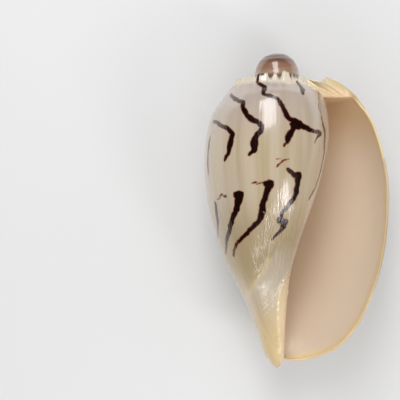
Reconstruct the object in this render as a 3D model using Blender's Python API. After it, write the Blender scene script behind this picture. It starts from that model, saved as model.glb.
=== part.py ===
"""A melo volute's shell, lying on its back on a small flat spot, with its aperture up.

Metres, +Z up. The shell's axis lies along Y: the spire points to +Y, the tip of the columella to -Y and the
outer lip to +X. An angle runs round the axis in degrees, the way the shell grew: 0 is at +X, 90 is up, 180 at
-X, 270 is down, and the lip stands near 370. A depth is measured down the axis from the top of the spire.
The shell grew as one piece, so it is one solid.
"""
import math

import bmesh
import bpy
from mathutils import Vector

MM = 0.001

# Where the shell's axis and its top lie, so that the origin is at the middle of the box's lower face
AXIS_X = -11.07 * MM
AXIS_Z = 53.2 * MM
APEX_Y = 95.1 * MM

# Outline of the last whorl at four angles: (radius, depth) in mm at thirteen features, which are the crown's
# edge, two on the shoulder, the upper side, the widest place, four down the side, two on the base, the notch
# beside the columella, and the columella's tip
OUTLINES = {
    -180: [(12.1, 18.8), (16.3, 22.1), (19.4, 25.7), (21.2, 31.8), (21.2, 41.4), (20.0, 51.1), (16.3, 61.4),
           (11.5, 75.3), (7.9, 96.8), (5.7, 124.0), (4.5, 172.0), (3.8, 185.7), (0.0, 190.2)],
    0: [(16.3, 18.2), (21.8, 21.9), (26.3, 25.7), (29.3, 34.5), (30.2, 48.4), (28.1, 62.9), (23.6, 80.5),
        (16.3, 101.0), (10.6, 118.6), (6.4, 137.9), (4.5, 175.5), (3.9, 185.7), (0.0, 190.2)],
    180: [(24.5, 17.2), (28.7, 22.4), (34.3, 29.3), (40.8, 41.1), (43.7, 64.1), (42.0, 88.3), (36.9, 108.9),
          (30.3, 126.6), (18.2, 148.8), (11.4, 165.5), (7.0, 180.6), (3.6, 186.6), (0.0, 190.2)],
    360: [(31.5, 19.4), (39.2, 20.5), (47.6, 28.4), (57.9, 44.8), (65.0, 72.6), (65.3, 98.6), (62.0, 123.4),
          (55.5, 145.2), (46.9, 162.8), (34.4, 177.6), (21.2, 188.8), (6.1, 184.2), (0.0, 190.2)],
}
FEATURES = 13
TURN = 360
HALF_TURN = 180

# Dome of the first whorls, (radius, depth) in mm
DOME = [(0.0, 0.0), (4.8, 0.7), (8.8, 3.0), (11.8, 7.0), (13.2, 11.5), (13.5, 16.0)]

# Between the dome and the crown: a ramp at the start and at the end of the last turn, and a channel halfway
RAMP_START = [(14.0, 16.5), (14.8, 17.0), (15.6, 17.5)]
RAMP_END = [(18.2, 16.1), (22.8, 17.1), (27.2, 18.2)]
CHANNEL = [0.0, 3.0, 4.5]

# The lip
LIP_ANGLE = 370
LIP_LEAD = [0, 0, 0, 0, 0, 0, 0, 0, 0, -4, -50, -85, -85]
WALL = 2.1
CALLUS = 0.6
CALLUS_CLEAR = 2.0

# The hollow of the last whorl: how far round it goes, its ceiling, and how deep its floor lies
HOLLOW_START = 80
HOLLOW_STOP = 388
CEILING = [(80, 31.0), (180, 29.8), (270, 28.5), (400, 26.4)]
FLOOR = [(0, 80.0), (80, 105.0), (135, 125.0), (180, 142.0), (225, 160.0), (270, 177.0), (284, 184.0)]
NOTCH_ANGLE = 284
NOTCH_RADIUS = 8.0
NOTCH_DEPTH = 120.0
COLUMELLA_RADIUS = 5.0
BELOW_BASE = 200.0

# Teeth of the crown: angle, depth of the tip in mm, half width in degrees
TEETH = [
    (-80, 14.2, 9), (-55, 13.4, 10), (-30, 12.8, 10), (-5, 12.6, 10), (18, 13.2, 10), (40, 13.2, 9),
    (60, 12.6, 8), (77, 10.6, 9), (93, 12.6, 8), (110, 11.8, 9), (128, 13.3, 9), (145, 14.7, 8),
    (160, 15.7, 7), (175, 16.0, 7), (190, 15.4, 7), (206, 15.4, 8), (221, 14.2, 8), (237, 15.1, 8),
    (253, 16.9, 7), (266, 18.6, 5), (279, 15.8, 6), (291, 18.2, 6), (309, 14.4, 11), (330, 19.6, 9),
    (347, 13.8, 13), (363, 15.8, 14),
]
CROWN_THICK = [(-96, 1.8), (180, 2.6), (335, 4.2), (350, 8.5), (370, 10.0)]
CROWN_OUT = [(335, 0.8), (350, 2.2), (370, 2.6)]
CROWN_ROOT = 4.0
CROWN_LEAN = 3.0

# The flat spot that the shell rests on
FLAT_SIZE = 0.12

# How fine the facets are
WHORL_COLUMNS = 73
DOME_ROWS = 6
RAMP_ROWS = 4
SIDE_ROWS = 27
HOLLOW_POINTS = 17
HOLLOW_STEPS = 28
CROWN_SIDES = 6

SHELL_COLOUR = (0.72, 0.60, 0.42, 1.0)
SHELL_ROUGHNESS = 0.25


def through(points, position):
    """The place at a position along a smooth curve through points, one point a unit; straight past the ends."""
    span = min(max(math.floor(position), 0), len(points) - 2)
    along = position - span
    here, there = points[span], points[span + 1]
    before = points[span - 1] if span > 0 else 2 * here - there
    after = points[span + 2] if span + 2 < len(points) else 2 * there - here
    if along < 0:
        return here + (there - before) * (along / 2)
    if along > 1:
        return there + (after - here) * ((along - 1) / 2)
    return 0.5 * (
        2 * here
        + (there - before) * along
        + (2 * before - 5 * here + 4 * there - after) * along ** 2
        + (3 * here - before - 3 * there + after) * along ** 3
    )


def level(table, angle):
    """The value at an angle in a table of (angle, value), straight between its entries."""
    for (a, low), (b, high) in zip(table, table[1:]):
        if angle <= b:
            return low + (high - low) * max(0, angle - a) / (b - a)
    return table[-1][1]


def features(angle):
    """The whorl's thirteen features at an angle, as vectors of radius and depth in mm."""
    keys = sorted(OUTLINES)
    position = (angle - keys[0]) / HALF_TURN
    return [through([Vector(OUTLINES[key][k]) for key in keys], position) for k in range(FEATURES)]


def dome_point(step):
    """Radius and depth on the dome, with step from 0 at its top to 1 at its foot."""
    return through([Vector(p) for p in DOME], step * (len(DOME) - 1))


def ramp_point(angle, step):
    """Radius and depth between the dome's foot, at step 0, and the crown's edge, at step 1."""
    share = (angle - LIP_ANGLE + TURN) / TURN
    middle = [Vector(a).lerp(Vector(b), share) for a, b in zip(RAMP_START, RAMP_END)]
    for point, drop in zip(middle, CHANNEL):
        point.y += drop * 4 * share * (1 - share)
    points = [Vector(DOME[-1])] + middle + [features(angle)[0]]
    return through(points, step * (len(points) - 1))


def placed(radius, depth, angle):
    """A point of the shell in metres, from its radius and depth in mm and its angle in degrees."""
    turn = math.radians(angle)
    return Vector((
        AXIS_X + radius * MM * math.cos(turn),
        APEX_Y - depth * MM,
        AXIS_Z + radius * MM * math.sin(turn),
    ))


def closed_body(name, columns, rows, place, flat_ends=False):
    """A sphere's mesh whose vertices are moved to place(column, row), with its poles at rows 0 and rows.

    With flat ends it has no poles, and one flat face closes the row beside each.
    """
    mesh = bmesh.new()
    bmesh.ops.create_uvsphere(mesh, u_segments=columns, v_segments=rows, radius=1)
    if flat_ends:
        poles = [vertex for vertex in mesh.verts if abs(vertex.co.z) > 1 - 1e-6]
        bmesh.ops.delete(mesh, geom=poles, context="VERTS")
        bmesh.ops.holes_fill(mesh, edges=mesh.edges, sides=0)
    for vertex in mesh.verts:
        column = round(math.atan2(vertex.co.y, vertex.co.x) / math.tau * columns) % columns
        row = round(math.acos(max(-1, min(1, vertex.co.z))) / math.pi * rows)
        vertex.co = place(column, row)
    bmesh.ops.remove_doubles(mesh, verts=mesh.verts, dist=0.01 * MM)
    bmesh.ops.recalc_face_normals(mesh, faces=mesh.faces)
    data = bpy.data.meshes.new(name)
    mesh.to_mesh(data)
    mesh.free()
    return bpy.data.objects.new(name, data)


def whorl_place(column, row):
    """A point of the outside. The last column is the first one a turn later, so the lip's face joins them."""
    step = max(0, row - DOME_ROWS - RAMP_ROWS) / SIDE_ROWS * (FEATURES - 1)
    angle = LIP_ANGLE - TURN + level(list(enumerate(LIP_LEAD)), step) + TURN * column / (WHORL_COLUMNS - 1)
    if row <= DOME_ROWS:
        point = dome_point(row / DOME_ROWS)
        return placed(point.x, point.y, angle)
    if row < DOME_ROWS + RAMP_ROWS:
        point = ramp_point(angle, (row - DOME_ROWS) / RAMP_ROWS)
        return placed(point.x, point.y, angle)
    point = through(features(angle), step)
    return placed(max(point.x, 0), point.y, angle)


def offset_curve(angle, offset):
    """The whorl's outline at an angle, moved out by an offset in mm."""
    shape = features(angle)
    steps = [k / 6 for k in range(6 * (FEATURES - 1))]
    points = [through(shape, step) for step in steps]
    moved = []
    for a, b in zip(points, points[1:]):
        along = (b - a).normalized()
        moved.append((a + b) / 2 + offset * Vector((along.y, -along.x)))
    return moved


def from_depth(points, depth):
    """The part of a curve that runs down, from a depth on."""
    for k in range(len(points) - 1):
        a, b = points[k], points[k + 1]
        if a.y < depth <= b.y:
            return [a.lerp(b, (depth - a.y) / (b.y - a.y))] + points[k + 1:]
    return points


def to_depth(points, depth):
    """The part of a curve that runs down, as far as a depth."""
    for k in range(len(points) - 1):
        a, b = points[k], points[k + 1]
        if a.y <= depth < b.y:
            return points[:k + 1] + [a.lerp(b, (depth - a.y) / (b.y - a.y))]
    return points


def spread(points, count):
    """Count points evenly spaced along a curve, with its two ends."""
    lengths = [(b - a).length for a, b in zip(points, points[1:])]
    total = sum(lengths)
    found = []
    for k in range(count):
        wanted = total * k / (count - 1)
        span = 0
        while span < len(lengths) - 1 and wanted > lengths[span]:
            wanted -= lengths[span]
            span += 1
        found.append(points[span].lerp(points[span + 1], min(1, wanted / lengths[span])))
    return found


def hollow_loop(angle):
    """The hollow's section at an angle: down the wall of the last whorl and up the side of the one within."""
    ceiling = level(CEILING, angle)
    wall = from_depth(offset_curve(angle, -WALL)[6:], ceiling)
    wall = [p for p in wall if p.x > NOTCH_RADIUS or p.y < NOTCH_DEPTH]
    past = max(0, angle - LIP_ANGLE) / (HOLLOW_STOP - LIP_ANGLE)
    core = from_depth(offset_curve(angle - TURN, CALLUS + CALLUS_CLEAR * past), ceiling)
    core = [Vector((max(p.x, COLUMELLA_RADIUS), p.y)) for p in core]
    if angle > NOTCH_ANGLE:
        wall.append(Vector((NOTCH_RADIUS, BELOW_BASE)))
        core.append(Vector((COLUMELLA_RADIUS, BELOW_BASE)))
    else:
        floor = level(FLOOR, angle)
        wall = to_depth(wall, floor)
        core = to_depth(core, floor)
    return spread(wall, HOLLOW_POINTS) + spread(core, HOLLOW_POINTS)[::-1]


def hollow_place(column, row):
    """A point of the hollow: row goes round the axis and column round its section."""
    angle = HOLLOW_START + (HOLLOW_STOP - HOLLOW_START) * (row - 1) / (HOLLOW_STEPS - 2)
    point = hollow_loop(angle)[column]
    return placed(point.x, point.y, angle)


def crown_angles():
    """The angles of the crown's sections: the teeth's tips and flanks, and the valleys between them."""
    tips = [tooth[0] for tooth in TEETH]
    found = [tips[0] - 16, tips[0] - 12, tips[0] - 6]
    for a, b in zip(tips, tips[1:]):
        found += [a, a + (b - a) * 0.25, (a + b) / 2, a + (b - a) * 0.75]
    return found + [tips[-1], tips[-1] + 3, LIP_ANGLE - 1, LIP_ANGLE - 0.9]


def crown_depth(angle):
    """How deep the crown's edge lies: in the valleys near the whorl's own edge, and higher at each tooth."""
    edge = features(angle)[0].y + 0.6
    rise = max((edge - tip) * max(0, 1 - abs(angle - middle) / half) for middle, tip, half in TEETH)
    return edge - rise


def crown_place(column, row):
    """A point of the crown: row goes along its spiral and column round its section, out, over the edge and in."""
    angles = crown_angles()
    angle = angles[row]
    edge = features(angle)[0]
    top = crown_depth(angle)
    share = column / CROWN_SIDES
    height = 2 * share if share <= 0.5 else 2 - 2 * share
    side = 0 if column in (0, CROWN_SIDES // 2) else (1 if share < 0.5 else -1)
    if row in (0, len(angles) - 1):
        height, side = (0 if row == 0 else 0.5), 0
    thick = level(CROWN_THICK, angle) * (1 - 0.75 * height)
    foot = edge.y + CROWN_ROOT
    radius = edge.x + level(CROWN_OUT, angle) - CROWN_LEAN * height * (foot - top) / 20 + side * thick / 2
    return placed(radius, foot + (top - foot) * height, angle)


def boolean(part, other, operation):
    """A Boolean modifier on a part, with the exact solver."""
    modifier = part.modifiers.new(other.name, "BOOLEAN")
    modifier.operation = operation
    modifier.solver = "EXACT"
    modifier.object = other


def material(name, colour, roughness):
    """A plain Principled material."""
    made = bpy.data.materials.new(name)
    made.use_nodes = True
    shader = made.node_tree.nodes["Principled BSDF"]
    shader.inputs["Base Color"].default_value = colour
    shader.inputs["Roughness"].default_value = roughness
    shader.inputs["Metallic"].default_value = 0.0
    return made


for old in list(bpy.data.objects):
    bpy.data.objects.remove(old)
parts = bpy.data.collections.new("melo shell")
cutters = bpy.data.collections.new("cutters")
bpy.context.scene.collection.children.link(parts)
bpy.context.scene.collection.children.link(cutters)

# The shell's outside
shell = closed_body("shell", WHORL_COLUMNS, DOME_ROWS + RAMP_ROWS + SIDE_ROWS, whorl_place)
parts.objects.link(shell)

# The crown of teeth
crown = closed_body("crown", CROWN_SIDES, len(crown_angles()) - 1, crown_place)

# The hollow of the last whorl, open at the aperture and at the notch
hollow = closed_body("hollow", 2 * HOLLOW_POINTS, HOLLOW_STEPS, hollow_place, flat_ends=True)

# The slab under the flat spot
slab_mesh = bmesh.new()
bmesh.ops.create_cube(slab_mesh, size=FLAT_SIZE)
bmesh.ops.translate(slab_mesh, verts=slab_mesh.verts, vec=(0, 0, -FLAT_SIZE / 2))
slab_data = bpy.data.meshes.new("slab")
slab_mesh.to_mesh(slab_data)
slab_mesh.free()
slab = bpy.data.objects.new("slab", slab_data)

for helper, operation in ((crown, "UNION"), (hollow, "DIFFERENCE"), (slab, "DIFFERENCE")):
    cutters.objects.link(helper)
    helper.hide_render = True
    helper.display_type = "WIRE"
    boolean(shell, helper, operation)

shell.data.materials.append(material("shell cream", SHELL_COLOUR, SHELL_ROUGHNESS))
shell.data.shade_smooth()
shell.data.set_sharp_from_angle(angle=math.radians(35))
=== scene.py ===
import math

import bmesh
import bpy
import numpy as np
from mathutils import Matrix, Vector, kdtree


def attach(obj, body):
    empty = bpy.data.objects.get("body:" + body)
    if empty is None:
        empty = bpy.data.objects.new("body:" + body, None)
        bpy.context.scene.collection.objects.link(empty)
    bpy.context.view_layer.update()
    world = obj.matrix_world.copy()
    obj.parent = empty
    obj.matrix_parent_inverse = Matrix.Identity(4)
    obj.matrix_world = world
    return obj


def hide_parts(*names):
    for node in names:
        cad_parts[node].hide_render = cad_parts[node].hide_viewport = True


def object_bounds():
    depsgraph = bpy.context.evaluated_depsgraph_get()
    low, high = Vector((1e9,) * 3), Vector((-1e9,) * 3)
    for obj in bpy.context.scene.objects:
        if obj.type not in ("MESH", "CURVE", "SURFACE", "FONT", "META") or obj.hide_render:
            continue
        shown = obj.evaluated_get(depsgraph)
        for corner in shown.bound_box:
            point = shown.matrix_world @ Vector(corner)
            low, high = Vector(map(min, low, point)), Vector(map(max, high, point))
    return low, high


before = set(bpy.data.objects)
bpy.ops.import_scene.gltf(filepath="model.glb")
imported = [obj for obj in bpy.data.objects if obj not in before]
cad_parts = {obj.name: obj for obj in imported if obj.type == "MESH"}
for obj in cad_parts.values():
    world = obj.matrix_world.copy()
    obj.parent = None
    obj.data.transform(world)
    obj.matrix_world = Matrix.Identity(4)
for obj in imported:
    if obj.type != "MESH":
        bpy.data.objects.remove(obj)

frame_box = np.array(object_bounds())

# The outside of the shell, from the round top of the spire to the tip of the columella. It is a sheet of
# lime that grew round the axis along Y for one turn and ends at the lip. Its outline at four angles is drawn
# through thirteen features, as radius and depth in mm, and runs smoothly between them.
MM = 0.001
TURN = 360
HALF_TURN = 180
AXIS_X = -11.07
AXIS_Z = 53.2
APEX_Y = 95.1
OUTLINE_START = -180
OUTLINES = np.array([
    [(12.1, 18.8), (16.3, 22.1), (19.4, 25.7), (21.2, 31.8), (21.2, 41.4), (20.0, 51.1), (16.3, 61.4),
     (11.5, 75.3), (7.9, 96.8), (5.7, 124.0), (4.5, 172.0), (3.8, 185.7), (0.0, 190.2)],
    [(16.3, 18.2), (21.8, 21.9), (26.3, 25.7), (29.3, 34.5), (30.2, 48.4), (28.1, 62.9), (23.6, 80.5),
     (16.3, 101.0), (10.6, 118.6), (6.4, 137.9), (4.5, 175.5), (3.9, 185.7), (0.0, 190.2)],
    [(24.5, 17.2), (28.7, 22.4), (34.3, 29.3), (40.8, 41.1), (43.7, 64.1), (42.0, 88.3), (36.9, 108.9),
     (30.3, 126.6), (18.2, 148.8), (11.4, 165.5), (7.0, 180.6), (3.6, 186.6), (0.0, 190.2)],
    [(31.5, 19.4), (39.2, 20.5), (47.6, 28.4), (57.9, 44.8), (65.0, 72.6), (65.3, 98.6), (62.0, 123.4),
     (55.5, 145.2), (46.9, 162.8), (34.4, 177.6), (21.2, 188.8), (6.1, 184.2), (0.0, 190.2)],
])
LAST_FEATURE = 12
LIP_ANGLE = 370
FIRST_ANGLE = LIP_ANGLE - TURN
LIP_LEAD = np.array([0, 0, 0, 0, 0, 0, 0, 0, 0, -4, -50, -85, -85.0])
CALLUS = 0.6
CALLUS_FADE = 16
DOME = np.array([(0.0, 0.0), (4.8, 0.7), (8.8, 3.0), (11.8, 7.0), (13.2, 11.5), (13.5, 16.0)])
SUTURE = np.array([(-350, 0.0), (-180, 1.2), (0, 2.5), (90, 3.3), (180, 3.8), (270, 4.7), (360, 7.7),
                   (450, 11.0), (540, 14.0), (740, 18.0)])
SUTURE_DEEP = 0.22
SUTURE_WIDE = 0.55
SUTURE_FADE = (1.5, 4)
RAMP_START = np.array([(14.0, 16.5), (14.8, 17.0), (15.6, 17.5)])
RAMP_END = np.array([(18.2, 16.1), (22.8, 17.1), (27.2, 18.2)])
CHANNEL = np.array([0.0, 3.0, 4.5])
RAMP_SPANS = 4

# teeth of the crown: angle, depth of the tip, the degrees it reaches before and after the tip, and how far
# its rib stands out down the shoulder
TEETH = [
    (14, 14.1, 14, 12, 0.6), (38, 15.2, 8, 8, 0.5), (57, 13.0, 8, 6, 0.8), (75, 12.7, 11, 9, 0.8),
    (93, 14.5, 6, 6, 0.4), (108, 14.2, 5, 8, 0.5), (116, 13.8, 10, 9, 0.8), (133, 15.2, 12, 12, 0.4),
    (149, 15.9, 7, 6, 0.7), (167, 15.7, 9, 7, 0.8), (181, 16.3, 6, 5, 0.6), (194, 16.2, 8, 5, 0.9),
    (208, 16.5, 8, 5, 1.2), (221, 15.8, 8, 5, 1.4), (233, 16.5, 8, 5, 1.2), (246, 17.8, 8, 5, 1.3),
    (256, 18.2, 5, 4, 1.0), (279, 16.2, 10, 6, 1.0), (293, 16.4, 7, 4, 1.2), (304, 15.8, 7, 7, 0.8),
    (312, 16.0, 5, 3, 1.6), (321, 19.6, 6, 6, 0.6), (345, 14.9, 22, 19, 1.0), (366, 14.9, 8, 10, 0.4),
]
SAG = np.array([(0, 0), (215, 0), (238, 1.4), (266, 2.4), (274, 0.8), (300, 1.0), (320, 2.4), (330, 1.0),
                (340, 0), (370, 0)])
RECESS = 0.7
RECESS_HALF = 4
RIB_DOWN = 1.4
VALLEY = 0.3
TOOTH_ROUND = 2.6
CREST_ROUGH = 0.8
ROUGH_WAVES = (0.61, 1.07)
ROUGH_FADE = (325, 340)
LEANS_IN = 0.9
LIP_LEANS_IN = 1.7
LIP_LEAN_FROM = (350, 368)
SCALE_FOOT = np.array([(0, 0.35), (200, 0.4), (300, 0.9), (340, 1.3), (370, 1.7)])
SCALE_BEND = np.array([(0, 0.9), (290, 1.2), (345, 5.0), (370, 8.0)])
INNER_FOOT = 0.9
CREST = 0.25
INNER_BEND_IN = 0.8
INNER_BEND_DOWN = 0.5
BEND_UP = 3.2
BEND_UP_FROM = (300, 365)
CALLUS_TOP = (0.6, 1.5)
CALLUS_FOOT = (11, 12)
DOME_ROWS = 30
RAMP_ROWS = 12
FIN_ROWS = 8
SIDE_ROWS = 164
COLUMNS = 320
FIN_ROW = DOME_ROWS + RAMP_ROWS
SIDE_ROW = FIN_ROW + 2 * FIN_ROWS
ROWS = SIDE_ROW + SIDE_ROWS


def smooth_span(before, here, there, after, along):
    """A point on a smooth curve between here and there, and straight on past them."""
    bend = 0.5 * (
        2 * here
        + (there - before) * along
        + (2 * before - 5 * here + 4 * there - after) * along ** 2
        + (3 * here - before - 3 * there + after) * along ** 3
    )
    early = here + (there - before) * (along / 2)
    late = there + (after - here) * ((along - 1) / 2)
    return np.where(along < 0, early, np.where(along > 1, late, bend))


def through(points, position):
    """The places at many positions along one smooth curve through points, one point a unit."""
    ends = np.concatenate([2 * points[:1] - points[1:2], points, 2 * points[-1:] - points[-2:-1]])
    span = np.clip(np.floor(position), 0, len(points) - 2).astype(int)
    along = (position - span).reshape(span.shape + (1,) * (points.ndim - 1))
    return smooth_span(ends[span], ends[span + 1], ends[span + 2], ends[span + 3], along)


def through_own(curves, position):
    """Like through, where every position has a curve of its own."""
    ends = [2 * curves[:, :1] - curves[:, 1:2], curves, 2 * curves[:, -1:] - curves[:, -2:-1]]
    ends = np.concatenate(ends, axis=1)
    span = np.clip(np.floor(position), 0, curves.shape[1] - 2).astype(int)
    here = np.arange(len(span))
    return smooth_span(*[ends[here, span + k] for k in range(4)], (position - span)[:, None])


def table(values, angle):
    """The value at an angle in a list of (angle, value), straight between its entries."""
    return np.interp(angle, values[:, 0], values[:, 1])


def ease(low, high, value):
    """0 below low and 1 above high, smooth between them."""
    share = np.clip((value - low) / (high - low), 0, 1)
    return share * share * (3 - 2 * share)


def outline(angle, step):
    """Radius and depth of the whorl's outside, with step 0 at the crown and 12 at the columella's tip."""
    shapes = through(OUTLINES, (angle - OUTLINE_START) / HALF_TURN)
    found = through_own(shapes, step)
    found[:, 0] = np.maximum(found[:, 0], 0)
    return found


def offset_outline(angle, step, offset):
    """The outline moved out by an offset in mm, square to itself."""
    nearby = 0.02
    along = outline(angle, step + nearby) - outline(angle, step - nearby)
    along /= np.linalg.norm(along, axis=1)[:, None] + 1e-9
    outward = np.stack([along[:, 1], -along[:, 0]], axis=1)
    moved = outline(angle, step) + outward * np.reshape(offset, (-1, 1))
    moved[:, 0] = np.maximum(moved[:, 0], 0)
    return moved


def lead(step):
    """How many degrees the lip stands ahead at a step: it swings back round the columella at the base."""
    return through(LIP_LEAD, np.clip(step, 0, LAST_FEATURE))


def seam_share(angle, depth):
    """1 on the seam between the first whorls, falling to 0 within a millimetre."""
    share = np.zeros(len(angle))
    for turns in (-TURN, 0, TURN):
        off = depth - table(SUTURE, angle + turns)
        share = np.maximum(share, np.exp(-(off / SUTURE_WIDE) ** 2))
    return share


def dome(angle, row):
    """Radius and depth on the smooth first whorls, with the groove of their seam winding down."""
    found = through(DOME, np.clip(row / DOME_ROWS, 0, 1) * (len(DOME) - 1))
    foot = DOME[-1]
    out = np.stack([found[:, 0], found[:, 1] - foot[1]], axis=1)
    out /= np.linalg.norm(out, axis=1)[:, None]
    groove = SUTURE_DEEP * seam_share(angle, found[:, 1]) * ease(*SUTURE_FADE, found[:, 0])
    return found - out * groove[:, None]


def ramp(angle, step):
    """Radius and depth of the ramp from the dome's foot, at step 0, to the crown's edge, at step 1."""
    share = (angle - FIRST_ANGLE) / TURN
    knots = np.empty((len(angle), RAMP_SPANS + 1, 2))
    knots[:, 0] = DOME[-1]
    knots[:, 1:RAMP_SPANS] = RAMP_START + (RAMP_END - RAMP_START) * share[:, None, None]
    knots[:, 1:RAMP_SPANS, 1] += CHANNEL * (4 * share * (1 - share))[:, None]
    knots[:, RAMP_SPANS] = outline(angle, np.zeros(len(angle)))
    return through_own(knots, np.clip(step, 0, 1) * RAMP_SPANS)


def crest(angle):
    """Radius and depth of the crown's upper edge, and how far the ribs under its teeth stand out, in mm."""
    edge = outline(angle, np.zeros(len(angle)))
    low = edge[:, 1] + table(SAG, angle)
    rise = np.full(len(angle), VALLEY)
    rib = np.zeros(len(angle))
    for middle, tip, before, after, stands in TEETH:
        off = np.where(angle < middle, (middle - angle) / before, (angle - middle) / after)
        near = 1 - np.clip(off, 0, 1) ** TOOTH_ROUND
        rise = np.maximum(rise, (low - tip) * near)
        rib = np.maximum(rib, stands * near)
        behind = np.clip(1 - np.abs(angle - middle - after) / RECESS_HALF, 0, 1)
        rib = np.where(rib <= 0, -RECESS * stands * behind, rib)
    rough = np.sin(angle * ROUGH_WAVES[0]) * np.sin(angle * ROUGH_WAVES[1] + 1)
    rise = rise + CREST_ROUGH * rough * (1 - ease(*ROUGH_FADE, angle))
    inward = LEANS_IN + LIP_LEANS_IN * ease(*LIP_LEAN_FROM, angle)
    return np.stack([edge[:, 0] - inward, low - rise], axis=1), rib


def bow(start, middle, end, share):
    """A point on the curve from start to end that leans towards middle."""
    share = share[:, None]
    return (1 - share) ** 2 * start + 2 * share * (1 - share) * middle + share ** 2 * end


def side_step(around, row):
    """The step along the thirteen features that a row stands for, from the outer foot of the crown on."""
    foot = table(SCALE_FOOT, around)
    return foot + (LAST_FEATURE - foot) * np.clip((row - SIDE_ROW) / SIDE_ROWS, 0, 1)


def profile(around, row):
    """Radius and depth of the outside at each row, its angle, and how far a rib stands out there."""
    step = side_step(around, row)
    angle = around + lead(step)
    found = dome(angle, row)
    up_ramp = ramp(angle, (row - DOME_ROWS) / RAMP_ROWS * INNER_FOOT)
    found = np.where((row > DOME_ROWS)[:, None], up_ramp, found)
    top, rib = crest(angle)
    thin = np.array([CREST, 0])
    inner_foot = ramp(angle, np.full(len(angle), INNER_FOOT))
    inner_middle = 0.5 * (inner_foot[:, 1] + top[:, 1])
    inner_bend = np.stack([top[:, 0] - INNER_BEND_IN, inner_middle + INNER_BEND_DOWN], axis=1)
    share = np.clip((row - FIN_ROW) / FIN_ROWS, 0, 1)
    found = np.where((row > FIN_ROW)[:, None], bow(inner_foot, inner_bend, top - thin, share), found)
    outer_foot = outline(angle, table(SCALE_FOOT, angle))
    outer_middle = 0.5 * (outer_foot[:, 1] + top[:, 1])
    outer_bend = np.stack([top[:, 0] + table(SCALE_BEND, angle), outer_middle], axis=1)
    outer_bend[:, 1] -= BEND_UP * ease(*BEND_UP_FROM, angle)
    share = np.clip((row - FIN_ROW - FIN_ROWS) / FIN_ROWS, 0, 1)
    outer = bow(top + thin, outer_bend, outer_foot, share)
    found = np.where((row > FIN_ROW + FIN_ROWS)[:, None], outer, found)
    callus = CALLUS * (1 - ease(0, CALLUS_FADE, around - FIRST_ANGLE))
    callus *= ease(*CALLUS_TOP, step) * (1 - ease(*CALLUS_FOOT, step))
    found = np.where((row > SIDE_ROW)[:, None], offset_outline(angle, step, callus), found)
    foot = table(SCALE_FOOT, around)
    rib *= ease(FIN_ROW, FIN_ROW + FIN_ROWS, row) * (1 - ease(foot, foot + RIB_DOWN, step))
    found[:, 0] += rib
    return found, angle, rib


def placed(found, angle):
    """Points in metres from radius and depth in mm and an angle, held inside the part's box.

    That presses the underside flat by up to 1.5 mm where the shell lies, as on the solid.
    """
    turn = np.radians(angle)
    x = AXIS_X + found[:, 0] * np.cos(turn)
    z = AXIS_Z + found[:, 0] * np.sin(turn)
    points = np.stack([x, APEX_Y - found[:, 1], z], axis=1) * MM
    return np.clip(points, frame_box[0], frame_box[1])


def sheet(name, columns, rows):
    """A grid of quads with its column and row at every vertex, to be bent into shape."""
    grid = bmesh.new()
    grid.loops.layers.uv.new("grown")
    bmesh.ops.create_grid(grid, x_segments=columns, y_segments=rows, size=1, calc_uvs=True)
    data = bpy.data.meshes.new(name)
    grid.to_mesh(data)
    grid.free()
    flat = np.empty(len(data.vertices) * 3, np.float32)
    data.vertices.foreach_get("co", flat)
    flat = (flat.reshape(-1, 3) + 1) / 2
    return data, np.round(flat[:, 0] * columns), np.round(flat[:, 1] * rows)


def bent(data, points):
    """Moves a sheet's vertices."""
    data.vertices.foreach_set("co", points.astype(np.float32).ravel())


outside, column, row = sheet("outside", COLUMNS, ROWS)
around = FIRST_ANGLE + TURN * column / COLUMNS
found, angle, rib = profile(around, row)
points = placed(found, angle)
bent(outside, points)

# The hollow of the last whorl, seen through the aperture and lined with smooth glaze. The lip's edge is
# rounded over, and the sheet goes on inside as the wall, the ceiling under the shoulder and the glaze on the
# whorl within. Rings of points follow the lip's line and run back into the shell.
WALL = 2.1
LIP_THICK = 1.5
CEILING = np.array([(80, 31.0), (180, 29.8), (270, 28.5), (400, 26.4)])
FLOOR = np.array([(0, 80.0), (80, 105.0), (135, 125.0), (180, 142.0), (225, 160.0), (270, 177.0),
                  (284, 184.0), (290, 400.0)])
DEEPEST = 290
MOUTH = 0.8
EDGE_RINGS = 12
RINGS = 40
SIDE_POINTS = ROWS - DOME_ROWS
LEAST_GAP = 0.9
SCALE_HOLLOW = 2.6
THICKENS_WITHIN = 25
TIP_THIN = 0.5
TIP_FROM = (10, 10.8)
ROUND_TOP = (2.0, 2.6)
ROUND_FOOT = (10.6, 10.9)
SCALE_FOLD = 0.2
SCALE_FOLD_WAVE = 0.7
RINGS_CLOSER = 1.3
LEAST_RADIUS = 5
RIM_FADE = 6.5
RIM_TOP = (1.5, 3)
# degrees back from the lip over which the lining darkens, as painted shade
DEEP_SHADE_FROM = (25, 130)

# folds on the columella: depth at the lip, height, and the degrees behind it where each starts and is full
FOLDS = [(145.5, 1.5, 3, 22), (136.0, 2.4, 24, 44), (126.0, 2.0, 30, 50)]
FOLD_HALF = 2.2
FOLD_PITCH = 26.0
LOOP_ROW = DOME_ROWS + np.arange(SIDE_POINTS + 1, dtype=float)
WALL_STEP = side_step(np.full(len(LOOP_ROW), float(LIP_ANGLE)), LOOP_ROW)
CORE_STEP = side_step(np.full(len(LOOP_ROW), float(FIRST_ANGLE)), LOOP_ROW)


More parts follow.
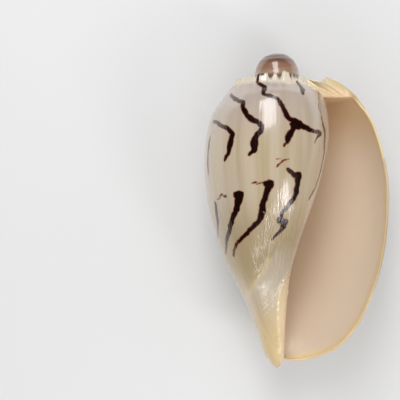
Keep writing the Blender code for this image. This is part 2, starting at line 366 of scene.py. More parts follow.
def hollow_ring(back):
    """A closed ring of the hollow, some degrees back from the lip's line: its points and their angles."""
    thick = LIP_THICK + (WALL - LIP_THICK) * ease(0, THICKENS_WITHIN, np.full(len(LOOP_ROW), float(back)))
    thick *= 1 - TIP_THIN * ease(*TIP_FROM, WALL_STEP)
    wall_angle = LIP_ANGLE + lead(WALL_STEP) * (1 - back / DEEPEST) - back
    core_angle = LIP_ANGLE + lead(CORE_STEP) * (1 - back / DEEPEST) - back
    wall = offset_outline(wall_angle, WALL_STEP, -thick)
    core = offset_outline(core_angle - TURN, CORE_STEP, np.full(len(LOOP_ROW), CALLUS))
    for fold_depth, high, near, full in FOLDS:
        off = core[:, 1] - fold_depth + FOLD_PITCH * back / TURN
        core[:, 0] += high * ease(near, full, back) * np.exp(-(off / FOLD_HALF) ** 2)
    below = WALL_STEP > LAST_FEATURE / 2
    meet = below & (wall[:, 0] - core[:, 0] < LEAST_GAP)
    on_side = LOOP_ROW >= SIDE_ROW
    sides = []
    for curve, turned in ((wall, wall_angle), (core, core_angle)):
        too_high = curve[:, 1] < table(CEILING, turned)
        too_low = curve[:, 1] > table(FLOOR, turned)
        first = max(np.argmax(~too_high & on_side), 1)
        last = np.argmax(below & (too_low | meet)) - 1
        sides.append((curve, turned, first, last))
    top = sum(curve[first] for curve, turned, first, last in sides) / 2
    top_angle = sum(turned[first] for curve, turned, first, last in sides) / 2
    bottom = sum(curve[last] for curve, turned, first, last in sides) / 2
    bottom_angle = sum(turned[last] for curve, turned, first, last in sides) / 2
    for curve, turned, first, last in sides:
        share = np.arange(first) / first
        curve[:first] = top + (curve[first] - top) * share[:, None]
        turned[:first] = top_angle + (turned[first] - top_angle) * share
        share = np.arange(1, len(LOOP_ROW) - last) / (len(LOOP_ROW) - 1 - last)
        curve[last + 1:] = curve[last] + (bottom - curve[last]) * share[:, None]
        turned[last + 1:] = turned[last] + (bottom_angle - turned[last]) * share
    return np.concatenate([wall, core[-2::-1]]), np.concatenate([wall_angle, core_angle[-2::-1]])


inside, column_in, ring_in = sheet("inside", 2 * SIDE_POINTS, EDGE_RINGS + RINGS)
down, down_angle = profile(np.full(len(LOOP_ROW), float(LIP_ANGLE)), LOOP_ROW)[:2]
up, up_angle = profile(np.full(len(LOOP_ROW), float(FIRST_ANGLE)), LOOP_ROW)[:2]
edge = np.concatenate([down, up[-2::-1]])
edge_angle = np.concatenate([down_angle, up_angle[-2::-1] + TURN])
mouth, mouth_angle = hollow_ring(MOUTH)
index = np.arange(len(edge))
is_wall = index <= SIDE_POINTS
loop_step = np.concatenate([WALL_STEP, CORE_STEP[-2::-1]])
rounded = np.where(is_wall, ease(*ROUND_TOP, loop_step), 0) * (1 - ease(*ROUND_FOOT, loop_step))
folds = (1 - SCALE_FOLD) + SCALE_FOLD * np.sin(index * SCALE_FOLD_WAVE)
points_in = np.empty((len(column_in), 3))
lip_near, deep_shade = np.zeros(len(column_in)), np.zeros(len(column_in))
for ring in range(EDGE_RINGS + RINGS + 1):
    if ring <= EDGE_RINGS:
        share = ring / EDGE_RINGS
        across = (1 - math.cos(math.pi * share)) / 2
        ring_found = edge + (mouth - edge) * (rounded * across + (1 - rounded) * share)[:, None]
        swell = math.sin(math.pi * share)
        ahead = rounded * LIP_THICK / 2 * swell - (1 - rounded) * SCALE_HOLLOW * folds * swell * is_wall
        ring_angle = edge_angle + (mouth_angle - edge_angle) * share
        ring_angle = ring_angle + np.degrees(ahead / np.maximum(ring_found[:, 0], LEAST_RADIUS))
        distance = np.zeros(len(edge))
    else:
        behind = MOUTH + (DEEPEST - MOUTH) * ((ring - EDGE_RINGS) / RINGS) ** RINGS_CLOSER
        ring_found, ring_angle = hollow_ring(behind)
        distance = np.radians(behind) * ring_found[:, 0]
        # How far back in the hollow each ring lies, for the darker peach painted there as shade.
        deep_shade[ring_in == ring] = ease(*DEEP_SHADE_FROM, behind)
    here = ring_in == ring
    chosen = np.round(column_in[here]).astype(int)
    points_in[here] = placed(ring_found[chosen], ring_angle[chosen])
    lip_near[here] = (np.exp(-distance / RIM_FADE) * is_wall * ease(*RIM_TOP, loop_step))[chosen]
bent(inside, points_in)

# The flames, drawn in dark brown by the animal while the shell grew, and the edges of the outside's other
# colours. Each flame is a stroke through places with a width, in pixels of a picture of the front or of the
# back, and is laid on the shell's surface there.
PIXEL = 0.605
CAMERA_PIXELS = 1200
MIDDLE_DOWN = 157
FRONT_AT = (277.0, 210.5)
BACK_AT = (120.0, 209.6)
BACK_TURN = math.radians(-2.65)
BACK_SCALE = 0.9935
FRONT_FLAMES = [
    [(262, 74, 3), (257.4, 76, 3), (257.4, 82.5, 3.5), (265, 87, 3.5), (263, 94, 3.5), (271, 96, 3.5),
     (279, 99.7, 3.5), (284, 109, 4), (288, 118, 5), (298.7, 123.8, 6), (312.5, 131.8, 4),
     (320.5, 133, 3)],
    [(292, 125, 6), (298, 127, 7)],
    [(294, 128, 4), (288.4, 136.4, 6.5), (288, 141, 3.5), (284, 145.6, 2)],
    [(320, 133, 3.5), (314.8, 142, 2)],
    [(230, 94, 2), (236.7, 100, 4), (243.6, 102, 4.5), (242.5, 106.6, 4.5), (247, 114.6, 4),
     (251.7, 119, 4.5), (258.6, 122.7, 4), (263, 127, 5), (256, 136, 4.5), (254, 143, 8), (255, 150, 4),
     (249.4, 153.7, 2)],
    [(212.6, 120.4, 2), (220.7, 125, 3.5), (228.7, 128.4, 4), (233.3, 134, 5), (230, 143, 7),
     (228.7, 152.5, 4), (225.3, 159.4, 2)],
    [(209.5, 136, 2.5), (208, 146, 5), (207.2, 155, 3.5), (207, 164, 5), (207.8, 173, 2)],
    [(298, 82.5, 4), (302, 88, 4.5), (302.8, 94, 3)],
    [(315.5, 83.6, 3), (319.8, 92, 5), (320.5, 98, 6), (320, 109, 5), (322, 117, 3)],
    [(321, 117, 2.5), (322.8, 122.7, 3.5), (325.2, 132, 4), (324.4, 155, 3.5), (321.2, 171, 3.5),
     (316.6, 186, 3.5), (309, 200, 2.5)],
    [(276.9, 158.3, 0.5), (282.7, 160.5, 1.5), (288.4, 159, 0.7)],
    [(282.7, 160.5, 1.2), (279.8, 164, 0.8), (276.9, 167, 0.4)],
    [(287.9, 169.8, 2), (293.3, 175.2, 4), (299, 175.2, 8), (297.3, 183, 6), (296, 195.7, 5),
     (284, 210, 4), (282, 214.5, 4), (278.6, 221.6, 5), (285.7, 221.6, 5), (283, 228, 4), (276.8, 234, 3),
     (272.3, 239.5, 2)],
    [(251.8, 183.2, 1.5), (261.6, 183.2, 2.5), (270.5, 184, 8), (268.8, 188.6, 6), (265.2, 195.7, 5),
     (262.5, 206, 5), (262.5, 211.8, 7), (259, 220.7, 4), (253.6, 226, 4), (246.4, 234, 4),
     (240.2, 239.5, 3.5), (235.7, 244.8, 3), (233.5, 254.6, 2)],
    [(217.9, 198.4, 2), (221.4, 195.3, 2.5), (225.9, 196.6, 2.5)],
    [(236, 194.8, 6), (241.5, 194.8, 7), (238.4, 202, 7), (235.7, 211, 6), (232, 220.7, 5),
     (229.5, 229.6, 4), (226.8, 239.5, 3.5), (225.9, 249.3, 2.5), (225.9, 254.6, 1.5)],
    [(215.6, 203, 3), (216.5, 213.6, 5), (217.9, 222.5, 4), (217.4, 236, 3)],
]
BACK_FLAMES = [
    [(143.5, 95, 2.5), (151.5, 98.6, 3.5), (165.3, 105.4, 3), (180.3, 114.6, 3)],
    [(93, 97.4, 3), (98.7, 102.5, 3.5), (110, 104.3, 3.5), (125, 111, 4), (137.8, 114.6, 3.5),
     (151.5, 119, 3.5), (165, 122.7, 3.5), (178, 128.4, 3.5), (185.5, 134, 3)],
    [(93.7, 122, 3.5), (101, 126, 3.5), (114.8, 129, 3.5), (128.6, 132, 3.5), (142.4, 134, 4.5),
     (158.4, 140, 4.5), (171, 144.5, 5), (175.7, 152.5, 5), (178.6, 168.6, 5), (176.8, 175.5, 4.5),
     (170, 184.7, 3.5), (163, 196, 3), (152.7, 211, 4), (160.7, 215.7, 3.5), (170.4, 222, 3.5)],
    [(95.3, 146.8, 3), (102, 151.4, 4.5), (114.8, 156, 4.5), (128.6, 160.6, 6), (140, 168.6, 6),
     (148.8, 173.2, 6), (144.7, 180, 6), (136.6, 188.8, 5), (134, 191, 1.5), (125, 195, 2),
     (121.7, 197.3, 5), (114.8, 205, 1.5)],
    [(19.5, 141, 2), (27.6, 152.5, 3.5), (39, 159.4, 5), (55, 167.4, 6), (69, 175.5, 9), (79, 185, 11),
     (77.5, 194, 12), (71, 204, 6), (59.7, 213.4, 2.5)],
    [(12.6, 184.7, 3), (18.4, 192.7, 3.5), (23, 200.7, 3.5), (17.2, 214.5, 2)],
    [(36.7, 265, 1), (49.4, 263, 3.5), (55, 266, 6), (60.8, 269.6, 9), (59.7, 283.4, 6),
     (56.3, 292.6, 4.5), (51.7, 308.7, 3), (49.4, 324.7, 2)],
    [(112.5, 238.6, 2), (119.4, 242.5, 4), (135.5, 242.5, 7), (133.5, 251, 7), (126.3, 265, 5.5),
     (112.5, 283.4, 4), (98.7, 295, 4), (91.8, 304, 3.5), (87.3, 310.5, 2)],
    [(179, 221.4, 3), (174.5, 233, 3), (165.3, 246.7, 3), (156, 260.4, 3), (144.7, 272, 3.5),
     (135.5, 285.7, 3), (129.7, 293.3, 4)],
    [(173.4, 251, 1), (168.8, 262.7, 1)],
    [(120, 79, 2.5), (121, 85, 4.5), (122, 91, 2)],
    [(129.5, 77, 2.5), (134, 80, 4), (139, 84.5, 3)],
]
# where the glaze of the inner lip ends on the front, and where the raised band round the columella begins
GLAZE_EDGE = np.array([
    (306, 78), (314.8, 83.6), (319.3, 92), (318.3, 109), (322.8, 122.7), (325.8, 132), (325, 155),
    (321.7, 171), (317, 186), (309, 200), (304, 222), (296.5, 244), (290.8, 262), (289.2, 268.5),
    (285, 280), (279, 292), (277.7, 308), (277.3, 324.6), (279, 332), (280.6, 341.2), (281.5, 349.5),
    (280, 370),
])
FRONT_BAND = np.array([(240, 306), (246, 298), (253, 286), (261.6, 274.7), (266.8, 265.4), (273, 254),
                       (283, 236), (300, 205)])
BACK_BAND = np.array([(90, 384), (108, 366), (116, 356), (130, 341), (138, 328), (148, 310), (154, 298),
                      (158, 290)])
FAR_OFF = 6.0
SOFT_MIDDLE = 0.4
SAMPLE = 1.5
NEAR_PIXELS = 1.5
SAME_SHEET = 1.5
EVENED = 2
CLOSE_GAP = 0.6
WIDEST_GAP = 9.0
FACES_US = 0.04


def front_picture(points):
    """Where points show in the picture of the front, in pixels."""
    x, y, z = ((points / MM - np.array([AXIS_X, APEX_Y, AXIS_Z])) / PIXEL).T
    near = CAMERA_PIXELS / (CAMERA_PIXELS - z)
    return np.stack([FRONT_AT[0] + x * near, FRONT_AT[1] + (-y - MIDDLE_DOWN) * near], axis=1)


def back_picture(points):
    """Where points show in the picture of the back, in pixels."""
    x, y, z = ((points / MM - np.array([AXIS_X, APEX_Y, AXIS_Z])) / PIXEL).T
    near = BACK_SCALE * CAMERA_PIXELS / (CAMERA_PIXELS + z)
    across, down = -x * near, (-y - MIDDLE_DOWN) * near
    cos, sin = math.cos(BACK_TURN), math.sin(BACK_TURN)
    turned_across, turned_down = across * cos - down * sin, across * sin + down * cos
    return np.stack([BACK_AT[0] + turned_across, BACK_AT[1] + turned_down], axis=1)


def stroke_places(stroke):
    """Places every pixel or two along a stroke, with their widths."""
    stroke = np.array(stroke, dtype=float)
    found = [stroke[:1]]
    for a, b in zip(stroke[:-1], stroke[1:]):
        count = max(1, math.ceil(np.linalg.norm(b[:2] - a[:2]) / SAMPLE))
        found.append(a + (b - a) * (np.arange(1, count + 1) / count)[:, None])
    return np.concatenate(found)


def laid_on(strokes, picture, facing, closeness):
    """The strokes' places on the surface that faces the picture, and half their widths, in metres."""
    seen = np.nonzero(facing > FACES_US)[0]
    tree = kdtree.KDTree(len(seen))
    for k, place in enumerate(picture[seen]):
        tree.insert((place[0], place[1], 0), k)
    tree.balance()
    spots = []
    for stroke in strokes:
        line = []
        for x, y, wide in stroke_places(stroke):
            near = tree.find_range((x, y, 0), NEAR_PIXELS) or [tree.find((x, y, 0))]
            closest = max(closeness[seen[k]] for co, k, off in near)
            same = [(off, seen[k]) for co, k, off in near if closeness[seen[k]] > closest - SAME_SHEET * MM]
            off, best = min(same)
            line.append((points[best], wide * PIXEL * MM / 2))
        for again in range(EVENED):
            middles = [(a[0] + 2 * b[0] + c[0]) / 4 for a, b, c in zip(line[:-2], line[1:-1], line[2:])]
            line[1:-1] = [(middle, half) for middle, (place, half) in zip(middles, line[1:-1])]
        spots += line
        for (start, half), (end, next_half) in zip(line[:-1], line[1:]):
            gap = np.linalg.norm(end - start) / MM
            if gap < WIDEST_GAP:
                for share in np.arange(CLOSE_GAP, gap, CLOSE_GAP) / max(gap, CLOSE_GAP):
                    spots.append((start + (end - start) * share, half + (next_half - half) * share))
    return spots


front, back = front_picture(points), back_picture(points)
upward = np.sin(np.radians(angle))
spots = laid_on(FRONT_FLAMES, front, upward, points[:, 2])
spots += laid_on(BACK_FLAMES, back, -upward, -points[:, 2])


def distance_off(places, spots):
    """How far places are outside the nearest stroke, in mm and negative inside it, with a soft middle."""
    off = np.full(len(places), FAR_OFF)
    for spot, half in spots:
        wide = half / MM
        if wide > 0:
            wide = math.hypot(wide, SOFT_MIDDLE) - SOFT_MIDDLE
        away = np.linalg.norm(places - spot, axis=1) / MM
        off = np.minimum(off, np.hypot(away, SOFT_MIDDLE) - SOFT_MIDDLE - wide)
    return off


off = distance_off(points, spots)

# Low relief grown with the shell: the ridges of the raised band round the columella, and the hollows of the
# crown's scales. Each is a stroke as above, with its height or depth in mm in place of a width, and pushes
# the surface out from the axis or in. A worn patch on the front has an uneven surface.
FRONT_RIDGES = [
    [(243, 304, 0.1), (246, 298, 0.35), (253, 286, 0.55), (261.6, 274.7, 0.6), (266.8, 265.4, 0.4),
     (271, 257, 0.05)],
    [(289, 269, 0.05), (286, 277, 0.4), (281, 288, 0.65), (279, 296, 0.75), (277.7, 308, 0.6),
     (277.3, 324.6, 0.5), (279, 332, 0.4), (280.6, 341.2, 0.35), (281.5, 349.5, 0.1)],
]
FRONT_HOLLOWS = [[(294.4, 73.5, -1.2), (295.4, 76.5, -1.0)]]
BACK_HOLLOWS = [
    [(149, 88, -0.6), (149.5, 92, -0.9)],
    [(157, 88, -0.6), (157.5, 92, -0.9)],
    [(84, 82, -0.6), (85, 88, -0.9)],
    [(102, 80, -0.5), (102, 87, -1.0)],
    [(115, 78, -0.5), (116, 82, -0.9)],
    [(126, 80, -0.5), (127, 90, -0.8)],
]
BACK_RIDGES = [
    [(154, 298, 0.1), (148, 310, 0.3), (138, 328, 0.45), (130, 341, 0.5), (116, 356, 0.3), (108, 366, 0.1)],
]
RIDGE_HALF = 1.7
WORN_AT = (276, 242)
WORN_HALF = (24, 42)
RIDGE_TINT = 8
RECESS_SHADE_TINT = 4
ridges = laid_on(FRONT_RIDGES + FRONT_HOLLOWS, front, upward, points[:, 2])
ridges += laid_on(BACK_RIDGES + BACK_HOLLOWS, back, -upward, -points[:, 2])


def ridged(places):
    """Points pushed out from the axis where the ridges run."""
    high = np.zeros(len(places))
    for spot, half in ridges:
        here = 2 * half / PIXEL * np.exp(-(np.linalg.norm(places - spot, axis=1) / (RIDGE_HALF * MM)) ** 2)
        high = np.where(np.abs(here) > np.abs(high), here, high)
    out = (places - np.array([AXIS_X, 0, AXIS_Z]) * MM) * np.array([1, 0, 1])
    out /= np.linalg.norm(out, axis=1)[:, None] + 1e-9
    return places + out * high[:, None]


bent(outside, ridged(points))
bent(inside, ridged(points_in))
off_worn = (front - np.array(WORN_AT)) / np.array(WORN_HALF)
worn = np.exp(-(off_worn ** 2).sum(axis=1)) * (upward > 0)
# How much gold the ridges take, partly as a painted highlight, and how dark the hollows are painted, as
# shade.
ridge, recess_shade = np.zeros(len(points)), np.zeros(len(points))
for spot, half in ridges:
    near = np.exp(-(np.linalg.norm(points - spot, axis=1) / (RIDGE_HALF * MM)) ** 2)
    ridge = np.maximum(ridge, near * np.clip(RIDGE_TINT * half / PIXEL / MM, 0, 1))
    recess_shade = np.maximum(recess_shade, near * np.clip(-RECESS_SHADE_TINT * half / PIXEL / MM, 0, 1))

# The numbers that the finish reads, one for every vertex: where the flames, the glaze of the inner lip, the
# raised band, the scales, the spire and the lining are. Each is a share from 0 to 1, but for the flames'
# distance and the ribs' height in mm.
BODY_LENGTH = 190
GLAZE_SOFT = 1.5
GLAZE_WITHIN = 150
GLAZE_UNDER = 90
UNDERSIDE = 0.02
BAND_BELOW = 90
SCALE_FACE_POINTS = 60
is_side = row >= SIDE_ROW
glaze_off = front[:, 0] - np.interp(front[:, 1], GLAZE_EDGE[:, 1], GLAZE_EDGE[:, 0])
glaze = ease(-GLAZE_SOFT, GLAZE_SOFT, glaze_off) * (around < GLAZE_WITHIN)
glaze = np.where(upward < UNDERSIDE, around < GLAZE_UNDER, glaze) * is_side
front_low = ease(-1, 1, front[:, 1] - np.interp(front[:, 0], FRONT_BAND[:, 0], FRONT_BAND[:, 1]))
back_low = ease(-1, 1, back[:, 1] - np.interp(back[:, 0], BACK_BAND[:, 0], BACK_BAND[:, 1]))
band = np.where(upward > 0, front_low, back_low) * is_side * (found[:, 1] > BAND_BELOW)
below_edge = found[:, 1] - outline(angle, np.zeros(len(row)))[:, 1]
scales = ease(DOME_ROWS + 2, FIN_ROW, row) * (1 - ease(-1, 5, below_edge))
scale_face = (ring_in < EDGE_RINGS) & (np.abs(column_in - SIDE_POINTS) > SIDE_POINTS - SCALE_FACE_POINTS)
yellowed = ease(140, 160, angle) * (1 - ease(200, 225, angle)) + ease(318, 335, angle)


def stain(data, name, values):
    """Keeps one number per vertex for the materials to read."""
    layer = data.attributes.new(name, "FLOAT", "POINT")
    layer.data.foreach_set("value", np.broadcast_to(values, len(data.vertices)).astype(np.float32))


# Two of these shares place painted shade: in the crown's hollows, and far back in the lining.
for name, on_outside, on_inside in (
    ("flames", off, FAR_OFF),
    ("glaze", glaze, 0),
    ("band", band, 0),
    ("ridge", ridge, 0),
    ("worn", worn, 0),
    ("yellowed", yellowed, 1),
    ("rib", rib, 0),
    ("recess_shade", recess_shade, 0),
    ("spire", 1 - ease(DOME_ROWS - 1, DOME_ROWS + 5, row), 0),
    ("seam", seam_share(angle, found[:, 1]) * (row < DOME_ROWS), 0),
    ("scales", scales, scale_face),
    ("inside", 0, ease(1, EDGE_RINGS, ring_in)),
    ("lip", 0, lip_near),
    ("deep_shade", 0, deep_shade),
    ("depth", found[:, 1] / BODY_LENGTH, (APEX_Y - points_in[:, 1] / MM) / BODY_LENGTH),
):
    stain(outside, name, on_outside)
    stain(inside, name, on_inside)

# The whole shell as one object of lime, since it grew as one piece. The outside and the hollow are joined at
# the lip, the seam down the last turn and the poles are closed, and the faces point outwards.
JOINED_WITHIN = 0.002
body = bmesh.new()
body.from_mesh(outside)
body.from_mesh(inside)
bmesh.ops.remove_doubles(body, verts=body.verts, dist=JOINED_WITHIN * MM)
bmesh.ops.holes_fill(body, edges=body.edges, sides=0)
bmesh.ops.recalc_face_normals(body, faces=body.faces)
shell_data = bpy.data.meshes.new("melo_shell")
body.to_mesh(shell_data)
body.free()
shell_data.shade_smooth()
shell = bpy.data.objects.new("melo_shell", shell_data)
bpy.context.scene.collection.objects.link(shell)

# The shell's finish: glossy glazed lime, cream to tan, with the flames under the gloss. The crown's scales
# are duller, the spire has a brown of its own, and the lining is peach with a golden rim. Shade is painted
# in dark brown into the crown's hollows and round the dome's foot, and as a darker peach at the lining's top
# and far back in it; the band's ridges take a gold that is partly a painted highlight. Ranges of depth
# are shares of the shell's length from the top of the spire.
CREAM = (0.56, 0.455, 0.32, 1)
TAN = (0.47, 0.36, 0.215, 1)
LILAC = (0.47, 0.39, 0.36, 1)
OLIVE = (0.36, 0.26, 0.12, 1)
GOLD = (0.76, 0.55, 0.27, 1)
# a light gold for the band's ridges: their yellowish tone, and partly a painted highlight along them
RIDGE_GOLD_SHEEN = (0.78, 0.62, 0.32, 1)
PEARL = (0.58, 0.49, 0.38, 1)
INNER_LIP = (0.84, 0.64, 0.38, 1)
CALLUS_WHITE = (0.62, 0.53, 0.45, 1)
SCALE_YELLOW = (0.80, 0.66, 0.38, 1)
SCALE_WHITE = (0.80, 0.70, 0.54, 1)
SCALE_CREAM = (0.76, 0.66, 0.50, 1)
SPIRE_BROWN = (0.12, 0.052, 0.034, 1)
SPIRE_ORANGE = (0.30, 0.155, 0.095, 1)
SPIRE_BASE = (0.50, 0.34, 0.22, 1)
# dark brown painted as shade in the crown's hollows and round the dome's foot
HOLLOW_SHADE_BROWN = (0.13, 0.085, 0.055, 1)
SEAM_PALE = (0.44, 0.29, 0.20, 1)
PEACH = (0.84, 0.70, 0.54, 1)
# a darker peach, painted as shade at the lining's top and far back in it
PEACH_SHADE = (0.76, 0.52, 0.28, 1)
RIM = (0.92, 0.68, 0.33, 1)
RUST = (0.23, 0.045, 0.012, 1)
FLAME = (0.010, 0.002, 0.001, 1)

finish = bpy.data.materials.new("shell_finish")
finish.use_nodes = True
nodes, links = finish.node_tree.nodes, finish.node_tree.links
shader = nodes["Principled BSDF"]


def attribute(name):
    """The socket of a number kept per vertex."""
    node = nodes.new("ShaderNodeAttribute")
    node.attribute_name = name
    return node.outputs["Fac"]


def grown_noise(scale_around, scale_down, detail, rough=0.5):
    """Noise along the way the shell grew: fine round the axis, drawn out down the side."""
    uv = nodes.new("ShaderNodeUVMap")
    uv.uv_map = "grown"
    stretch = nodes.new("ShaderNodeMapping")
    stretch.inputs["Scale"].default_value = (scale_around, scale_down, 1)
    noise = nodes.new("ShaderNodeTexNoise")
    noise.inputs["Scale"].default_value = 1
    noise.inputs["Detail"].default_value = detail
    noise.inputs["Roughness"].default_value = rough
    links.new(uv.outputs["UV"], stretch.inputs["Vector"])
    links.new(stretch.outputs["Vector"], noise.inputs["Vector"])
    return noise.outputs["Fac"]


def place_noise(scale, detail):
    """Noise in the shell's own space."""
    where = nodes.new("ShaderNodeTexCoord")
    noise = nodes.new("ShaderNodeTexNoise")
    noise.inputs["Scale"].default_value = scale
    noise.inputs["Detail"].default_value = detail
    links.new(where.outputs["Object"], noise.inputs["Vector"])
    return noise.outputs["Fac"]


def reckoned(kind, first, second):
    """A sum or product of two values, each a number or a socket."""
    node = nodes.new("ShaderNodeMath")
    node.operation = kind
    for socket, value in zip(node.inputs, (first, second)):
        if isinstance(value, (int, float)):
            socket.default_value = value
        else:
            links.new(value, socket)
    return node.outputs[0]


def between(value, low, high, start=0.0, end=1.0):
    """Maps a value from low..high to start..end, smoothly."""
    node = nodes.new("ShaderNodeMapRange")
    node.interpolation_type = "SMOOTHSTEP"
    node.inputs["From Min"].default_value = low
    node.inputs["From Max"].default_value = high
    node.inputs["To Min"].default_value = start
    node.inputs["To Max"].default_value = end
    links.new(value, node.inputs["Value"])
    return node.outputs["Result"]


def painted(under, over, share):
    """One colour laid over another by a share."""
    node = nodes.new("ShaderNodeMix")
    node.data_type = "RGBA"
    links.new(share, node.inputs["Factor"])
    for socket, value in ((node.inputs[6], under), (node.inputs[7], over)):
        if isinstance(value, tuple):
            socket.default_value = value
        else:
            links.new(value, socket)
    return node.outputs[2]


depth = attribute("depth")
scale_share = attribute("scales")
ground = painted(CREAM, TAN, between(grown_noise(26, 1.5, 3), 0.42, 0.68))
ground = painted(ground, LILAC, between(place_noise(18, 2), 0.45, 0.7, 0.0, 0.55))
ground = painted(ground, LILAC, between(depth, 0.34, 0.12, 0.0, 0.6))
olive = reckoned("MULTIPLY", between(depth, 0.42, 0.60, 0.0, 0.7), between(depth, 0.80, 0.66))
ground = painted(ground, OLIVE, olive)
ground = painted(ground, GOLD, between(depth, 0.66, 0.98, 0.0, 0.8))
pearly = reckoned("MULTIPLY", between(depth, 0.90, 0.72, 0.0, 0.7), between(depth, 0.58, 0.68))
ground = painted(ground, PEARL, reckoned("MULTIPLY", attribute("band"), pearly))
# Gold along the band's ridges: their yellowish tone, laid on lighter as a painted highlight.
ground = painted(ground, RIDGE_GOLD_SHEEN, reckoned("MULTIPLY", attribute("ridge"), 0.35))
scale_colour = painted(SCALE_CREAM, SCALE_YELLOW, attribute("yellowed"))
ground = painted(ground, scale_colour, between(scale_share, 0.05, 0.85, 0.0, 0.9))
ground = painted(ground, SCALE_WHITE, between(attribute("rib"), 0.2, 1.2, 0.0, 0.6))
# Dark brown in the hollow just after each tooth: painted shade.
ground = painted(ground, HOLLOW_SHADE_BROWN, between(attribute("rib"), -0.1, -0.8, 0.0, 0.75))
spire = painted(SPIRE_BROWN, SPIRE_ORANGE, between(depth, 0.02, 0.045))
spire = painted(spire, SPIRE_BASE, between(depth, 0.045, 0.075))
# A dark brown band round the dome's foot, behind the crown: painted shadow.
spire = painted(spire, HOLLOW_SHADE_BROWN, between(depth, 0.066, 0.077, 0.0, 0.8))
spire = painted(spire, SEAM_PALE, reckoned("MULTIPLY", attribute("seam"), 0.35))
ground = painted(ground, spire, attribute("spire"))
# The lining darkens towards the top of the hollow and far back in it: painted shade.
lining = painted(PEACH, PEACH_SHADE, between(depth, 0.36, 0.12, 0.0, 0.8))
lining = painted(lining, PEACH_SHADE, reckoned("MULTIPLY", attribute("deep_shade"), 0.6))
lining = painted(lining, RIM, between(attribute("lip"), 0.05, 0.9, 0.0, 0.9))
ground = painted(ground, lining, attribute("inside"))
# Dark brown in the crown's scale hollows: painted shade.
ground = painted(ground, HOLLOW_SHADE_BROWN, attribute("recess_shade"))
wobble = reckoned("MULTIPLY", reckoned("SUBTRACT", place_noise(420, 3), 0.5), 1.5)
broad_wobble = reckoned("MULTIPLY", reckoned("SUBTRACT", place_noise(160, 1), 0.5), 1.4)
wobble = reckoned("ADD", wobble, broad_wobble)
ragged = reckoned("ADD", attribute("flames"), wobble)
ground = painted(ground, RUST, between(ragged, 0.60, 0.0, 0.0, 0.95))
ground = painted(ground, FLAME, between(ragged, 0.12, -0.3))
callus = painted(CALLUS_WHITE, INNER_LIP, between(depth, 0.66, 0.74))
glazed = reckoned("MULTIPLY", attribute("glaze"), between(depth, 0.3, 0.7, 0.6, 0.85))
ground = painted(ground, callus, glazed)
links.new(ground, shader.inputs["Base Color"])

lines = reckoned("MULTIPLY", grown_noise(150, 2.5, 1), between(depth, 0.1, 0.4, 0.8, 1.2))
worn_high = between(attribute("worn"), 0.0, 1.0, 0.0, 7.0)
rough_low = reckoned("MULTIPLY", grown_noise(170, 26, 2, 0.6), worn_high)
relief = nodes.new("ShaderNodeBump")
relief.inputs["Distance"].default_value = 0.0002
relief.inputs["Strength"].default_value = 0.7
outer = reckoned("SUBTRACT", reckoned("SUBTRACT", 1.0, attribute("inside")), attribute("spire"))
arcs = reckoned("MULTIPLY", grown_noise(5, 130, 2), between(depth, 0.72, 0.80, 0.0, 2.5))
arcs = reckoned("MULTIPLY", arcs, attribute("band"))
heights = reckoned("ADD", reckoned("ADD", lines, rough_low), arcs)
links.new(reckoned("MULTIPLY", heights, outer), relief.inputs["Height"])
links.new(relief.outputs["Normal"], shader.inputs["Normal"])
dull_inside = reckoned("MULTIPLY", attribute("inside"), 0.2)
dull = reckoned("ADD", between(scale_share, 0.1, 0.8, 0.26, 0.42), dull_inside)
links.new(dull, shader.inputs["Roughness"])
shader.inputs["IOR"].default_value = 1.5
links.new(between(attribute("inside"), 0.0, 1.0, 0.9, 0.2), shader.inputs["Coat Weight"])
shader.inputs["Coat Roughness"].default_value = 0.08
shader.inputs["Coat IOR"].default_value = 1.7
links.new(relief.outputs["Normal"], shader.inputs["Coat Normal"])
shell_data.materials.append(finish)
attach(shell, "root")
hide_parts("shell")

# The floor, a plain pale board with a dull finish. The shell only lies on it, and it is wide enough to show
# no edge from above.
FLOOR_HALF = 3.0
floor_mesh = bmesh.new()
bmesh.ops.create_grid(floor_mesh, x_segments=1, y_segments=1, size=FLOOR_HALF)
floor_data = bpy.data.meshes.new("floor")
floor_mesh.to_mesh(floor_data)
floor_mesh.free()
floor = bpy.data.objects.new("floor", floor_data)
bpy.context.scene.collection.objects.link(floor)
floor_finish = bpy.data.materials.new("floor_pale")
floor_finish.use_nodes = True
floor_shader = floor_finish.node_tree.nodes["Principled BSDF"]
floor_shader.inputs["Base Color"].default_value = (0.76, 0.75, 0.73, 1)
floor_shader.inputs["Roughness"].default_value = 0.8
floor_data.materials.append(floor_finish)

# Soft studio light. Three lamps show in the gloss: a tall window-like one beyond the spire, a strip at the
# right of the foot, and a small one at its left. Four wide ones and a pale room only fill the shade.
bpy.context.scene.view_settings.view_transform = "Standard"
world = bpy.data.worlds.new("studio")
bpy.context.scene.world = world
world.use_nodes = True
room = world.node_tree.nodes["Background"]
room.inputs["Color"].default_value = (0.95, 0.97, 1.0, 1)
room.inputs["Strength"].default_value = 0.42
world.cycles_visibility.glossy = False


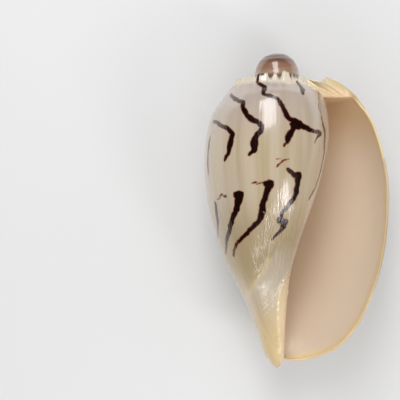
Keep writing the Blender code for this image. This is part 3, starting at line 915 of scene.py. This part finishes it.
def softbox(name, place, size, power, aim, mirrored=True):
    """A rectangular lamp that faces a point, and shows in the gloss only if it is mirrored."""
    lamp = bpy.data.lights.new(name, "AREA")
    lamp.shape = "RECTANGLE"
    lamp.size, lamp.size_y = size
    lamp.energy = power
    lamp.color = (0.96, 0.97, 1.0)
    made = bpy.data.objects.new(name, lamp)
    bpy.context.scene.collection.objects.link(made)
    made.location = place
    made.rotation_euler = (Vector(aim) - Vector(place)).to_track_quat("-Z", "Y").to_euler()
    made.visible_glossy = mirrored


softbox("window", (-0.10, 0.56, 0.66), (0.34, 0.80), 4.1, (-0.01, 0.04, 0.08))
softbox("strip", (0.62, -0.46, 0.70), (0.16, 0.34), 1.9, (0, 0, 0.08))
softbox("low", (-0.24, -0.68, 0.64), (0.22, 0.16), 0.7, (0, -0.03, 0.08))
softbox("above", (0.05, -0.10, 1.30), (0.9, 0.9), 1.4, (0, 0, 0.08), mirrored=False)
softbox("foot", (-0.15, -0.75, 0.75), (0.8, 0.6), 2.4, (0, 0, 0.05), mirrored=False)
softbox("left", (-0.95, 0.10, 0.50), (0.9, 0.5), 0.4, (0, 0, 0.05), mirrored=False)
softbox("right", (0.95, 0.20, 0.50), (0.9, 0.5), 0.7, (0, 0, 0.05), mirrored=False)

# The camera, straight above the aperture, with the shell in the right-hand half of its frame. It stands as
# far off as the picture that the flames are laid down from, and it turns a little rather than shifts.
FRAME_PIXELS = 400
SENSOR = 36.0
lens = bpy.data.cameras.new("camera")
lens.sensor_width = SENSOR
lens.lens = SENSOR * CAMERA_PIXELS / FRAME_PIXELS
camera = bpy.data.objects.new("camera", lens)
bpy.context.scene.collection.objects.link(camera)
camera.location = Vector((AXIS_X, APEX_Y - MIDDLE_DOWN * PIXEL, AXIS_Z + CAMERA_PIXELS * PIXEL)) * MM
right = FRONT_AT[0] - FRAME_PIXELS / 2
down = FRONT_AT[1] - FRAME_PIXELS / 2
camera.rotation_euler = (math.atan(down / CAMERA_PIXELS), math.atan(right / CAMERA_PIXELS), 0)
bpy.context.scene.camera = camera
